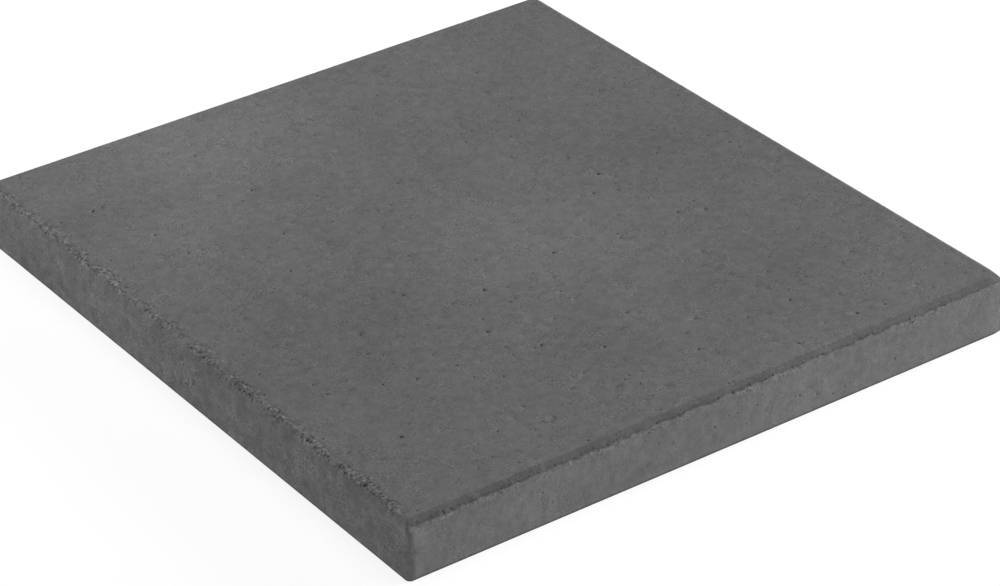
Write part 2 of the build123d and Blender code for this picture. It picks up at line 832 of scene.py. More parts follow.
@dataclass
class SlabSkin:
    """The slab's whole closed surface: top sheet, wall sheet and bed sheet, joined at their rims.

    Spacings and rooms are in millimetres, and each share is of the spacing or reach that it names.
    """

    form: SlabForm
    weathering: Weathering
    seed: int = 42
    arc_steps: int = 7
    rim_spacing: float = 0.95
    end_rows: Rows = Rows(0.85, 1.28, 5.5, 5.8)
    side_rows: Rows = Rows(0.8, 1.2, 10.0, 5.8)
    rim_room_share: float = 0.45
    wall_rows: Rows = Rows(1.0, 1.3, 3.2, 3.4)
    wall_step_share: float = 1.05
    seam_room_share: float = 0.6
    foot_room: float = 1.6
    bed_rim_spacing: float = 2.6
    bed_spacing: float = 9.0
    bed_rim_room_share: float = 0.6
    groove_spacing: float = 5.5
    groove_arc_steps: int = 8
    lip_rings: tuple[float, ...] = (-2.2, -0.35, 0.0, 0.3)
    crown_rings: tuple[float, ...] = (-0.4, 0.0, 0.8)
    pore_depth_share: float = 1.5
    wall_pore_depth_share: float = 0.9
    knock_spacing: float = 0.7
    knock_patch_share: float = 1.7
    knock_seam_share: float = 2.0
    patch_over_foot: float = 0.3
    patch_over_arris: float = 0.5
    patch_under_rim: float = 0.4
    side_blend: tuple[float, float] = (-0.5, 1.0)
    rng: np.random.Generator = field(init=False)
    outline: Outline = field(init=False)
    top_stations: np.ndarray = field(init=False)
    bed_stations: np.ndarray = field(init=False)
    seam_levels: np.ndarray = field(init=False)
    bed_turn: float = field(init=False)
    bed_lift: float = field(init=False)
    vertices: np.ndarray = field(init=False)
    faces: np.ndarray = field(init=False)
    worn: np.ndarray = field(init=False)
    pits: np.ndarray = field(init=False)
    girth: np.ndarray = field(init=False)
    along: np.ndarray = field(init=False)
    on_wall: np.ndarray = field(init=False)
    on_bed: np.ndarray = field(init=False)
    above: np.ndarray = field(init=False)
    past_slope: np.ndarray = field(init=False)
    endness: np.ndarray = field(init=False)
    beside: np.ndarray = field(init=False)
    side: np.ndarray = field(init=False)
    crumbs: np.ndarray = field(init=False)

    SHARP_CORNER = 1e-6

    def __post_init__(self) -> None:
        """Builds the three sheets, joins them and works out where each point lies."""
        self.rng = np.random.default_rng(self.seed)
        self.outline = self.form.outline
        self.top_stations = self.outline.stations(self.rim_spacing, self.arc_steps)
        self.bed_stations = self.outline.stations(self.bed_rim_spacing, self.arc_steps)
        self.bed_turn = self.form.bed_arris_radius * math.pi / 2
        self.bed_lift = self.bed_turn - self.form.bed_arris_radius
        self._join(self._top(), self._bed(), self._wall())
        plan = self.vertices[:, :2]
        self.above = self.on_bed < 0.5
        self.past_slope = self.girth - self.form.slope
        self.endness = self.form.endness(plan)
        self.beside = 1 - self.endness
        self.side = self.above * self.beside * ramp(-self.past_slope, *self.side_blend)
        self.crumbs = self.weathering.crumbs(plan)

    def _top(self) -> Sheet:
        """Lays out the top face with its chamfers.

        Returns:
            A sheet over the plan.
        """
        form, sheet = self.form, Sheet(self.rng)
        sheet.border = self.outline.at(self.top_stations)
        for rows, at_end in ((self.end_rows, True), (self.side_rows, False)):
            for inset, spacing in rows.offsets(form.width / 2):
                square = self.outline.within(inset, self.SHARP_CORNER)
                points = square.at(square.stations(spacing, 1))
                inside = self.outline.depth(points) > spacing * self.rim_room_share
                sheet.scatter(points[inside & (form.on_end(points) == at_end)], spacing)
        sheet.press_pores(self.weathering.top_pores(self.rng, form), self.pore_depth_share)
        return sheet

    def _bed(self) -> Sheet:
        """Lays out the bed face with its drip groove.

        Returns:
            A sheet over the plan.
        """
        form, wear, sheet = self.form, self.weathering, Sheet(self.rng)
        sheet.border = self.outline.at(self.bed_stations, form.bed_arris_radius)
        lines = [np.arange(self.bed_spacing - h, h, self.bed_spacing) for h in form.half]
        grid = crossings(*lines)
        clear_of_rim = self.outline.depth(grid) > self.bed_spacing * self.bed_rim_room_share
        clear_of_both = clear_of_rim & self._off_groove(grid, self.groove_spacing)
        sheet.scatter(grid[clear_of_both], self.bed_spacing)
        flank, lip = form.drip_flank, form.drip_lip
        near_side = [*self.lip_rings, flank / 2, *(flank + off for off in self.crown_rings)]
        far_side = [form.drip_mouth - offset for offset in reversed(near_side)]
        for offset in near_side + [form.drip_mouth / 2] + far_side:
            ring = lip.within(offset, lip.radius - offset)
            stations = ring.stations(self.groove_spacing, self.groove_arc_steps)
            sheet.scatter(ring.at(stations), 0.0)
        places = strewn(self.rng, wear.bed_pore_count, form.half - wear.pore_margin)
        pores = wear.bed_pores.draw(self.rng, places[self._off_groove(places, wear.pore_margin)])
        sheet.press_pores(apart(pores), self.pore_depth_share)
        return sheet

    def _off_groove(self, plan: np.ndarray, room: float) -> np.ndarray:
        """Tells which plan points keep their distance from the drip groove."""
        from_lip = self.form.drip_lip.depth(plan)
        return (from_lip < -room) | (from_lip > self.form.drip_mouth + room)

    def _rim_height(self, along: np.ndarray) -> np.ndarray:
        """Height at which the wall meets the chamfer, at distances along the outline."""
        return self.form.top_height(self.outline.at(along))

    def _rim_level(self, along: np.ndarray) -> np.ndarray:
        """Way up from the bed rim at which the wall meets the chamfer."""
        return self._rim_height(along) + self.bed_lift

    def _wall(self) -> Sheet:
        """Lays out the side faces, unrolled from the rear left corner.

        Returns:
            A sheet over distance along the outline and way up from the bed rim.
        """
        sheet, end = Sheet(self.rng), self.outline.perimeter
        foot, head = np.append(self.bed_stations, end), np.append(self.top_stations, end)
        rim = self._rim_level(head)
        rows = list(self.wall_rows.offsets(rim[0] - (self.bed_turn + self.foot_room)))
        arris_rows = [self.bed_turn / 2, self.bed_turn]
        self.seam_levels = np.array(arris_rows + [rim[0] - offset for offset, _ in reversed(rows)])
        levels = len(self.seam_levels)
        sheet.border = np.concatenate([
            np.column_stack([foot, np.zeros(len(foot))]),
            np.column_stack([np.full(levels, end), self.seam_levels]),
            np.column_stack([head, rim])[::-1],
            np.column_stack([np.zeros(levels), self.seam_levels])[::-1],
        ])
        for row in arris_rows:
            sheet.scatter(np.column_stack([foot[1:-1], np.full(len(foot) - 2, row)]), 0.0)
        for offset, spacing in rows:
            along = self.outline.stations(spacing * self.wall_step_share, self.arc_steps)
            room = spacing * self.seam_room_share
            along = along[(along > room) & (along < end - room)]
            share = (rim[0] - offset - self.bed_turn) / (rim[0] - self.bed_turn)
            height = self.bed_turn + (self._rim_level(along) - self.bed_turn) * share
            on_arc = self.outline.past_arc(along) <= 0
            sheet.scatter(np.column_stack([along, height]), np.where(on_arc, 0.0, spacing))
        for knock in self.weathering.knocks:
            place = np.array([self.outline.nearest(knock.x, knock.y), knock.z + self.bed_lift])
            room = self.knock_seam_share * knock.reach
            if room < place[0] < end - room:
                self._refine_wall(sheet, place, self.knock_patch_share * knock.reach)
        sheet.press_pores(self._wall_pores(rim[0]), self.wall_pore_depth_share)
        return sheet

    def _refine_wall(self, sheet: Sheet, place: np.ndarray, radius: float) -> None:
        """Fills a round patch of the wall with fine points, short of its rim and its foot.

        Args:
            sheet: The unrolled wall.
            place: The patch's middle on it.
            radius: The patch's radius.
        """
        sheet.refine(place, radius, self.knock_spacing)
        along, level = sheet.inner.T
        kept = (level > self.bed_turn + self.patch_over_arris) | (level <= self.bed_turn)
        kept &= level < self._rim_level(along) - self.patch_under_rim
        sheet.keep(kept & (level > self.patch_over_foot))

    def _wall_pores(self, top: float) -> np.ndarray:
        """Draws the pores of the side faces.

        Args:
            top: Way up at which the wall ends.

        Returns:
            Rows of place on the unrolled wall, radius, stretch and turn.
        """
        wear = self.weathering
        low = np.array([wear.wall_pore_seam_room, self.bed_turn + wear.wall_pore_foot_room])
        high = np.array([
            self.outline.perimeter - wear.wall_pore_seam_room, top - wear.wall_pore_rim_room
        ])
        places = low + self.rng.random((wear.wall_pore_count, 2)) * (high - low)
        places = places[self.outline.past_arc(places[:, 0]) > wear.wall_pore_corner_room]
        return apart(wear.wall_pores.draw(self.rng, places))

    def _wall_place(self, wall: np.ndarray) -> np.ndarray:
        """Rolls the wall up again, round the lower arris too.

        Args:
            wall: Points of the unrolled wall.

        Returns:
            Their places on the slab.
        """
        radius = self.form.bed_arris_radius
        angle = np.minimum(wall[:, 1], self.bed_turn) / radius
        inset = radius * (1 - np.sin(angle))
        height = radius * (1 - np.cos(angle)) + np.maximum(wall[:, 1] - self.bed_turn, 0)
        return np.column_stack([self.outline.at(wall[:, 0], inset), height])

    def _join(self, top: Sheet, bed: Sheet, wall: Sheet) -> None:
        """Joins the sheets into one closed mesh, with shared points along rims and seam.

        Args:
            top: The top face with its chamfers.
            bed: The bed face.
            wall: The unrolled side faces.
        """
        form = self.form
        plan_top, plan_bed = np.vstack([top.border, top.inner]), np.vstack([bed.border, bed.inner])
        seam = np.column_stack([np.zeros(len(self.seam_levels)), self.seam_levels])
        wall_points = np.vstack([seam, wall.inner])
        wall_place = self._wall_place(wall_points)
        bed_first = len(plan_top)
        seam_first = bed_first + len(plan_bed)
        foot = bed_first + np.append(np.arange(len(bed.border)), 0)
        head = np.append(np.arange(len(top.border)), 0)
        side = seam_first + np.arange(len(seam))
        inner = seam_first + len(seam) + np.arange(len(wall.inner))
        wall_index = np.concatenate([foot, side, head[::-1], side[::-1], inner])
        self.vertices = np.vstack([
            np.column_stack([plan_top, form.top_height(plan_top)]),
            np.column_stack([plan_bed, form.bed_height(plan_bed)]),
            wall_place,
        ])
        self.faces = np.vstack([
            top.triangles(),
            bed.triangles()[:, ::-1] + bed_first,
            wall_index[wall.triangles()],
        ])
        self.pits = np.concatenate([
            np.zeros(len(top.border)), top.pits,
            np.zeros(len(bed.border)), bed.pits,
            np.zeros(len(seam)), wall.pits,
        ])
        below_rim = self._rim_height(wall_points[:, 0]) - wall_place[:, 2]
        self.girth = np.concatenate([
            form.girth_over_top(plan_top), np.full(len(plan_bed), -form.thickness), -below_rim
        ])
        self.worn = sum(knock.push(self.vertices, form) for knock in self.weathering.knocks)
        sheets = [len(plan_top), len(plan_bed), len(wall_points)]
        self.along = np.concatenate([np.zeros(len(plan_top) + len(plan_bed)), wall_points[:, 0]])
        self.on_wall = np.repeat([0.0, 0.0, 1.0], sheets)
        self.on_bed = np.repeat([0.0, 1.0, 0.0], sheets)
        log.info("skin: %s points on top, bed and wall, %d triangles", sheets, len(self.faces))

    def carried(self) -> dict[Carried, np.ndarray]:
        """Works out what each point carries.

        Returns:
            One number a point, under each name that the relief and the finish read.
        """
        wear = self.weathering
        paste = 1 - wear.paste_loss * ramp(self.vertices[:, 1], *wear.paste_thins)
        return {
            Carried.PIT: self.pits * MM,
            Carried.CRUMBLE: self._crumble(),
            Carried.FRAY: self._fray(),
            Carried.GIRTH: self.girth * MM,
            Carried.BAND: self.above * at_least(wear.band_on_sides, self.endness) * paste,
            Carried.END: self.endness,
            Carried.SIDE: self.side,
            Carried.WALL: self.on_wall,
            Carried.BED: self.on_bed,
            Carried.TONE: self._tone() * self.above,
            Carried.RUBBLE: self._rubble(),
            Carried.CORNER: self._past_corner() * MM,
        }

    def _crumble(self) -> np.ndarray:
        """Works out how far the upper borders of the chamfers are broken away.

        Returns:
            A share for each point, greatest on the long arrises.
        """
        wear = self.weathering
        strip = wear.crumble_strip.share(self.past_slope) * self.above
        return strip * at_least(wear.crumble_at_ends, self.beside) * self.crumbs

    def _fray(self) -> np.ndarray:
        """Works out how far the lower creases of the chamfers are frayed.

        Returns:
            A share for each point, greatest at the torn places of the right end.
        """
        wear, place = self.weathering, self.vertices
        torn = sum(bell(place[:, 1] - y, wear.torn_reach) for y in wear.torn_places)
        torn = np.minimum(wear.torn_least + torn * (place[:, 0] > 0), wear.torn_most)
        strip = wear.fray_strip.share(self.girth) * self.above
        return strip * at_least(wear.fray_on_sides, self.endness) * torn

    def _rubble(self) -> np.ndarray:
        """Works out how far coarse grains are bared.

        Returns:
            A share for each point, greatest at the long arrises.
        """
        wear, past_slope = self.weathering, self.past_slope
        calm = ramp(-self.vertices[:, 0], *wear.calm_slope)
        lowest = wear.rubble_foot_rise * calm + wear.rubble_foot
        strip = ramp(past_slope, lowest, wear.rubble_head)
        strip = strip * bell(np.maximum(past_slope, 0), wear.rubble_reach)
        rubble = self.beside * self.crumbs * strip + wear.wall_rubble * self.side * self.on_wall
        rubble += self.endness * wear.end_rubble.share(self.girth)
        return self.above * (rubble + wear.open_spot.share(self.vertices))

    def _tone(self) -> np.ndarray:
        """Adds up clouds, painted light along the long chamfers and the dark lines of mitres and
        corners.

        Returns:
            How much lighter or darker each point is than the plain skin.
        """
        form, wear, place, girth = self.form, self.weathering, self.vertices, self.girth
        tone = sum(cloud.gain * cloud.share(place) for cloud in wear.clouds)
        to_end, to_side = form.margins(place[:, :2])
        on_slope = self.above * ramp(girth, *wear.mitre_foot) * ramp(self.past_slope, *wear.mitre_head)
        tone -= wear.mitre_line.share(to_end - to_side) * on_slope
        tone += self.side * wear.slope_painted_light * ramp(girth, *wear.slope_painted_light_foot)
        tone += self.side * wear.crease_painted_light.share(girth)
        borders = wear.arris_painted_light.share(self.past_slope) + wear.border_shade.share(self.past_slope)
        tone += self.beside * self.above * borders
        tone += self.endness * self.above * wear.end_rub.share(self.past_slope)
        crack = wear.crack_line.share(self.outline.from_corner(self.along))
        return tone - crack * ramp(place[:, 2], *wear.crack_foot) * self.on_wall

    def _past_corner(self) -> np.ndarray:
        """Measures how far past its nearest upright corner each point of the walls lies.

        Returns:
            A distance for each point, below zero on the long sides, and far off away from the walls.
        """
        from_corner = self.outline.from_corner(self.along)
        way = np.where(self.form.on_end(self.vertices[:, :2]), 1.0, -1.0)
        return np.where(self.on_wall > 0.5, from_corner * way, self.outline.perimeter)


@dataclass
class PressedRelief:
    """Geometry Nodes tree that roughens the pressed form, always inwards.

    Sizes are in millimetres. Each swell has its detail, and the noise values that it runs between.
    """

    name: str = "pressed_relief"
    sizes: dict[str, float] = field(default_factory=lambda: {
        "Crumble Depth": 1.1,
        "Crumble Grain": 2.6,
        "Crumble Cluster": 20.0,
        "Fray Depth": 0.68,
        "Fray Length": 4.0,
        "Skin Depth": 0.07,
        "Skin Swell": 16.0,
    })
    swells: dict[str, tuple[float, float, float]] = field(default_factory=lambda: {
        "Crumble Grain": (3.0, 0.46, 0.66),
        "Crumble Cluster": (2.0, 0.34, 0.58),
        "Fray Length": (4.0, 0.42, 0.62),
        "Skin Swell": (2.0, 0.30, 0.70),
    })
    unrest: float = 0.6
    seed: float = 3.0
    seed_step: float = 4.0

    def build(self, material: bpy.types.Material) -> Tree:
        """Builds the tree.

        Args:
            material: The finish that the tree sets.

        Returns:
            The node tree, with one named input for each size in metres.
        """
        tree = bpy.data.node_groups.new(self.name, "GeometryNodeTree")
        tree.interface.new_socket("Geometry", in_out="INPUT", socket_type="NodeSocketGeometry")
        for name in self.sizes:
            tree.interface.new_socket(name, in_out="INPUT", socket_type="NodeSocketFloat")
        tree.interface.new_socket("Geometry", in_out="OUTPUT", socket_type="NodeSocketGeometry")
        size = tree.nodes.new("NodeGroupInput").outputs
        hollow, depth = self._depths(tree, size)
        inward = add(tree, MATH, {0: depth, 1: -1.0}, operation="MULTIPLY")
        normal = add(tree, "GeometryNodeInputNormal")
        offset = add(tree, "ShaderNodeVectorMath", {0: normal, "Scale": inward}, operation="SCALE")
        stored = add(tree, "GeometryNodeStoreNamedAttribute",
                     {"Geometry": size["Geometry"], "Name": Carried.HOLLOW.value, "Value": hollow},
                     data_type="FLOAT", domain="POINT")
        moved = add(tree, "GeometryNodeSetPosition", {"Geometry": stored, "Offset": offset})
        realized = add(tree, "GeometryNodeRealizeInstances", {"Geometry": moved})
        finished = add(tree, "GeometryNodeSetMaterial", {"Geometry": realized, "Material": material})
        tree.links.new(finished, tree.nodes.new("NodeGroupOutput").inputs["Geometry"])
        return tree

    def _depths(self, tree: Tree, size: bpy.types.NodeOutputs) -> tuple[Socket, Socket]:
        """Adds up how deep each point sinks.

        Args:
            tree: The tree.
            size: Its named inputs.

        Returns:
            The depth of pores, crumbled borders and frayed creases, and that with the skin's swells.
        """
        place = add(tree, "GeometryNodeInputPosition")
        named = {
            number: add(tree, "GeometryNodeInputNamedAttribute", {"Name": number.value},
                        "Attribute", data_type="FLOAT")
            for number in (Carried.PIT, Carried.CRUMBLE, Carried.FRAY)
        }
        swells = {}
        for turn, (name, (detail, low, high)) in enumerate(self.swells.items()):
            scale = add(tree, MATH, {0: 1.0, 1: size[name]}, operation="DIVIDE")
            seed = self.seed + self.seed_step * turn
            noise = add(tree, NOISE, {"Vector": place, "W": seed, "Scale": scale, "Detail": detail,
                                      "Roughness": self.unrest}, noise_dimensions="4D")
            swells[name] = add(tree, RANGE, {"Value": noise, "From Min": low, "From Max": high})
        products = [
            (named[Carried.CRUMBLE], size["Crumble Depth"],
             swells["Crumble Grain"], swells["Crumble Cluster"]),
            (named[Carried.FRAY], size["Fray Depth"], swells["Fray Length"]),
            (size["Skin Depth"], swells["Skin Swell"]),
        ]
        terms = []
        for factors in products:
            term = factors[0]
            for factor in factors[1:]:
                term = add(tree, MATH, {0: term, 1: factor}, operation="MULTIPLY")
            terms.append(term)
        crumbled, frayed, skin = terms
        hollow = add(tree, MATH, {0: named[Carried.PIT], 1: crumbled}, operation="ADD")
        hollow = add(tree, MATH, {0: hollow, 1: frayed}, operation="ADD")
        return hollow, add(tree, MATH, {0: hollow, 1: skin}, operation="ADD")

    def apply(self, piece: bpy.types.Object, material: bpy.types.Material) -> None:
        """Runs the tree on a piece and keeps the result as a plain mesh.

        Args:
            piece: The piece to roughen.
            material: The finish that it gets.
        """
        modifier = piece.modifiers.new(self.name, "NODES")
        modifier.node_group = self.build(material)
        for item in modifier.node_group.interface.items_tree:
            if item.in_out == "INPUT" and item.name in self.sizes:
                modifier[item.identifier] = self.sizes[item.name] * MM
        bpy.context.view_layer.update()
        evaluated = piece.evaluated_get(bpy.context.evaluated_depsgraph_get())
        finished = bpy.data.meshes.new_from_object(evaluated)
        piece.modifiers.clear()
        piece.data = finished
        finished.materials.clear()
        finished.materials.append(material)


@dataclass(frozen=True)
class Swell:
    """A soft uneven pattern: the size of its swells in millimetres and the values it runs between."""

    name: str
    size: float
    low: float
    high: float
    detail: float = 3.0
    upright_stretch: float = 1.0


@dataclass(frozen=True)
class Dots:
    """Scattered dots: cell and largest radius in millimetres, share of cells with a dot, and gain."""

    cell: float
    radius: float
    share: float
    gain: float
    in_rubble: bool = False


@dataclass(frozen=True)
class Scuff:
    """A fine mark, a light scratch or a dark painted shadow: its middle, half lengths and turn about
    each axis, and its gain.
    """

    middle: tuple[float, float, float]
    reach: tuple[float, float, float]
    turn: tuple[float, float, float]
    gain: float


@dataclass(frozen=True)
class PressedConcrete:
    """Anthracite concrete, pressed semi-dry in a mould: a matt, dense, fine-grained skin.

    To the eye it is one dull dark grey, broken by soft clouds, sand grains and pinholes, which
    gather in patches where the skin is more open. The mould's walls drag upright smears over the
    sides, and the stamp leaves a dark, smooth band of fine paste on the chamfers of the ends.
    Sizes are in millimetres. The order of the swells gives each its seed.
    """

    name: str = "pressed_anthracite_concrete"
    base: str = "#6a6a6a"
    roughness: float = 0.88
    bump_depth: float = 0.16
    swells: tuple[Swell, ...] = (
        Swell("grain", 1.3, -0.2, 0.2),
        Swell("patch", 13.0, 0.0, 2.3, 2.0),
        Swell("mottle", 6.0, 0.87, 1.13, 4.0),
        Swell("drift", 45.0, 0.95, 1.05),
        Swell("smear", 4.5, -0.08, 0.08, 3.0, 3.0),
        Swell("ragged", 6.0, -1.2, 1.2, 5.0),
        Swell("oil_stain", 30.0, -0.12, 0.1, 4.0),
        Swell("blotch", 9.0, -0.2, 0.18, 4.0),
        Swell("cluster", 10.0, -0.3, 2.6, 3.0),
        Swell("bared_grain", 1.7, -0.6, 0.75, 2.0),
    )
    seed_step: float = 3.0
    # The mould's walls smear all sides, the long sides are blotched, and release oil stains the bed
    kept_to: tuple[tuple[str, Carried], ...] = (
        ("smear", Carried.WALL), ("blotch", Carried.SIDE), ("oil_stain", Carried.BED),
    )
    side_grain_gain: float = 0.35
    end_grain_loss: float = 0.25
    # Dots with a gain below 1 are pinholes and broken cavities whose shade is painted; the others are
    # specks, sand and bared grains
    dots: tuple[Dots, ...] = (
        Dots(4.4, 0.9, 0.5, 0.5),
        Dots(2.1, 0.42, 0.4, 0.62),
        Dots(2.7, 0.55, 0.4, 1.25),
        Dots(6.1, 0.95, 0.45, 1.28),
        Dots(2.8, 1.25, 0.58, 0.2, True),
        Dots(2.3, 1.15, 0.55, 1.8, True),
        Dots(4.6, 2.0, 0.5, 1.4, True),
    )
    dot_warp: float = 0.5
    least_dot_share: float = 0.35
    dot_core_share: float = 0.4
    dots_in_relief: int = 4
    scuffs: tuple[Scuff, ...] = (
        Scuff((83.5, 38.5, 40), (11, 0.6, 2), (0, 0, 8.1), 0.3),
        Scuff((49.5, 3, 40), (6, 0.6, 2), (0, 0, -20), 0.3),
        Scuff((77.5, 5, 40), (6, 0.6, 2), (0, 0, -10), 0.25),
        Scuff((250, -215.6, 18.2), (2, 5.0, 0.6), (-22, 0, 0), 0.25),
        # Painted shadow in a notch on the right end
        Scuff((250, -219.7, 18.9), (2, 3.6, 1.0), (-16, 0, 0), -0.35),
        Scuff((250, -219.2, 35.3), (2, 1.8, 1.3), (0, 0, 0), 0.3),
    )
    # Painted light and shade round the upright corners: where each step starts and ends, from the arc's
    # middle, and its gain
    corner_painted_shading: tuple[tuple[float, float, float], ...] = (
        (-3.2, -1.5, 0.09), (0.2, 2.5, -0.31), (3.6, 4.9, 0.35), (6.0, 16.0, -0.13),
    )
    corner_wander: float = 0.6
    band_shade: float = 0.32
    band_unrest: float = 1.4
    band_foot: float = 1.1
    band_softness: float = 0.5
    # Painted crease shade at the foot of the paste band: how much darker the band gets there, and how
    # far up that fades
    band_painted_crease_shade: float = 1.5
    band_painted_crease_shade_reach: float = 2.2
    band_head: tuple[float, float] = (-0.4, 1.0)
    # Painted shade inside pores and breaks: the depths it spans and its darkest gain
    hollow_depths: tuple[float, float] = (0.3, 1.4)
    hollow_painted_shade: float = 0.35
    # Painted contact shade on the lower arris: the heights it spans and its strength
    foot_heights: tuple[float, float] = (0.5, 2.2)
    foot_painted_shade: float = 0.7

    def material(self, slope: float) -> bpy.types.Material:
        """Builds the node material.

        Args:
            slope: Length of the chamfer's slope.

        Returns:
            The material.
        """
        material = bpy.data.materials.new(self.name)
        material.use_nodes = True
        material.node_tree.nodes.clear()
        ConcreteLayers(self, material.node_tree, slope).build()
        return material


class ConcreteLayers:
    """The node tree of pressed concrete, whose layers are gains that multiply one base colour."""

    def __init__(self, finish: PressedConcrete, tree: Tree, slope: float) -> None:
        """Adds what the layers read: places, carried numbers and soft uneven patterns.

        Args:
            finish: The finish's sizes and gains.
            tree: The material's empty tree.
            slope: Length of the chamfer's slope.
        """
        self.finish = finish
        self.tree = tree
        self.slope = slope
        self.place = add(tree, "ShaderNodeTexCoord", out="Object")
        self.carried = {
            number: add(tree, "ShaderNodeAttribute", out="Fac", attribute_name=number.value)
            for number in Carried
        }
        self.swells = {swell.name: self._swell(swell, turn) for turn, swell in enumerate(finish.swells)}
        self.bared = add(tree, MATH, {0: self.carried[Carried.RUBBLE], 1: self.swells["cluster"]},
                         operation="MULTIPLY", use_clamp=True)
        self.warped = self._warped()

    def build(self) -> None:
        """Multiplies all layers and gives them to the shader."""
        finish, tree, swells = self.finish, self.tree, self.swells
        dots = [self._dots(kind) for kind in finish.dots]
        gains = [
            self._grain(),
            swells["mottle"],
            swells["drift"],
            *dots,
            *(self._scuff(scuff) for scuff in finish.scuffs),
            *(self._masked(swells[name], self.carried[faces]) for name, faces in finish.kept_to),
            self._painted_hollow_shade(),
            self._band(),
            self._painted_corner_shading(),
            self._painted_foot_shade(),
            add(tree, MATH, {0: self.carried[Carried.TONE], 1: 1.0}, operation="ADD"),
        ]
        gain = gains[0]
        for layer in gains[1:]:
            gain = add(tree, MATH, {0: gain, 1: layer}, operation="MULTIPLY")
        colour = add(tree, "ShaderNodeVectorMath", {0: linear(finish.base)[:3], "Scale": gain},
                     operation="SCALE")
        relief = gains[0]
        for layer in dots[:finish.dots_in_relief]:
            relief = add(tree, MATH, {0: relief, 1: layer}, operation="ADD")
        bump = add(tree, "ShaderNodeBump", {"Height": relief, "Distance": finish.bump_depth * MM})
        shader = add(tree, "ShaderNodeBsdfPrincipled",
                     {"Base Color": colour, "Roughness": finish.roughness, "Normal": bump})
        add(tree, "ShaderNodeOutputMaterial", {"Surface": shader})

    def _masked(self, change: Socket, mask: Socket | float) -> Socket:
        """Gain of a change where its mask is 1, and none where it is 0."""
        return add(self.tree, MATH, {0: change, 1: mask, 2: 1.0}, operation="MULTIPLY_ADD")

    def _swell(self, swell: Swell, turn: int) -> Socket:
        """Adds a soft uneven pattern.

        Args:
            swell: The pattern's sizes.
            turn: Its place in the finish's row, which gives its seed.

        Returns:
            The pattern's value.
        """
        flat = add(self.tree, MAPPING,
                   {"Vector": self.place, "Scale": (1, 1, 1 / swell.upright_stretch)})
        noise = add(self.tree, NOISE, {
            "Vector": flat, "W": self.finish.seed_step * turn, "Scale": PER_METRE / swell.size,
            "Detail": swell.detail,
        }, noise_dimensions="4D")
        return add(self.tree, RANGE, {
            "Value": noise, "From Min": NOISE_LOW, "From Max": NOISE_HIGH,
            "To Min": swell.low, "To Max": swell.high,
        })

    def _warped(self) -> Socket:
        """Bends places a little, so that dots aren't round.

        Returns:
            The bent places.
        """
        tree, warp = self.tree, self.finish.dot_warp
        unrest = add(tree, NOISE, {"Vector": self.place, "Scale": PER_METRE / (2 * warp)}, "Color")
        shift = add(tree, "ShaderNodeVectorMath", {0: unrest, 1: (NOISE_MIDDLE,) * 3},
                    operation="SUBTRACT")
        shift = add(tree, "ShaderNodeVectorMath", {0: shift, "Scale": 2 * warp * MM},
                    operation="SCALE")
        return add(tree, "ShaderNodeVectorMath", {0: self.place, 1: shift}, operation="ADD")

    def _grain(self) -> Socket:
        """Shades sand and paste: strong where open or bared, and weaker on the smooth ends.

        Returns:
            The gain.
        """
        finish, tree, swells, carried = self.finish, self.tree, self.swells, self.carried
        change = -finish.side_grain_gain - finish.end_grain_loss
        kept = add(tree, MATH, {0: carried[Carried.END], 1: change, 2: finish.side_grain_gain},
                   operation="MULTIPLY_ADD")
        kept = self._masked(kept, carried[Carried.WALL])
        open_skin = add(tree, MATH, {0: swells["patch"], 1: kept}, operation="MULTIPLY")
        gain = self._masked(swells["grain"], open_skin)
        return add(tree, MATH, {0: swells["bared_grain"], 1: self.bared, 2: gain},
                   operation="MULTIPLY_ADD")

    def _dots(self, dots: Dots) -> Socket:
        """Scatters dots of one kind: pinholes and cavities with painted shade, specks, sand grains or
        bared rubble.

        Args:
            dots: Their sizes.

        Returns:
            The gain.
        """
        finish, tree = self.finish, self.tree
        cell = add(tree, CELLS, {"Vector": self.warped, "Scale": PER_METRE / dots.cell}).node.outputs
        luck = add(tree, "ShaderNodeSeparateColor", {0: cell["Color"]}).node.outputs
        chosen = add(tree, MATH, {0: luck["Red"], 1: dots.share}, operation="LESS_THAN")
        largest = dots.radius / dots.cell
        edge = add(tree, RANGE, {"Value": luck["Green"], "To Min": finish.least_dot_share * largest,
                                 "To Max": largest})
        core = add(tree, MATH, {0: edge, 1: finish.dot_core_share}, operation="MULTIPLY")
        spot = add(tree, RANGE, {"Value": cell["Distance"], "From Min": core, "From Max": edge,
                                 "To Min": dots.gain - 1, "To Max": 0.0})
        if dots.in_rubble:
            spot = add(tree, MATH, {0: spot, 1: self.bared}, operation="MULTIPLY")
        return self._masked(spot, chosen)

    def _scuff(self, scuff: Scuff) -> Socket:
        """Draws a light scratch that handling left, or a painted notch shadow.

        Args:
            scuff: Its place and sizes.

        Returns:
            The gain.
        """
        own = add(self.tree, MAPPING, {
            "Vector": self.place,
            "Location": [v * MM for v in scuff.middle],
            "Rotation": [math.radians(v) for v in scuff.turn],
            "Scale": [v * MM for v in scuff.reach],
        }, vector_type="TEXTURE")
        mark = add(self.tree, "ShaderNodeTexGradient", {"Vector": own}, "Fac",
                   gradient_type="SPHERICAL")
        return self._masked(mark, scuff.gain)

    def _painted_hollow_shade(self) -> Socket:
        """Gain inside pores and breaks: painted shade, darker the deeper they go."""
        start, end = (depth * MM for depth in self.finish.hollow_depths)
        return add(self.tree, RANGE, {
            "Value": self.carried[Carried.HOLLOW], "From Min": start, "From Max": end,
            "To Min": 1.0, "To Max": self.finish.hollow_painted_shade,
        })

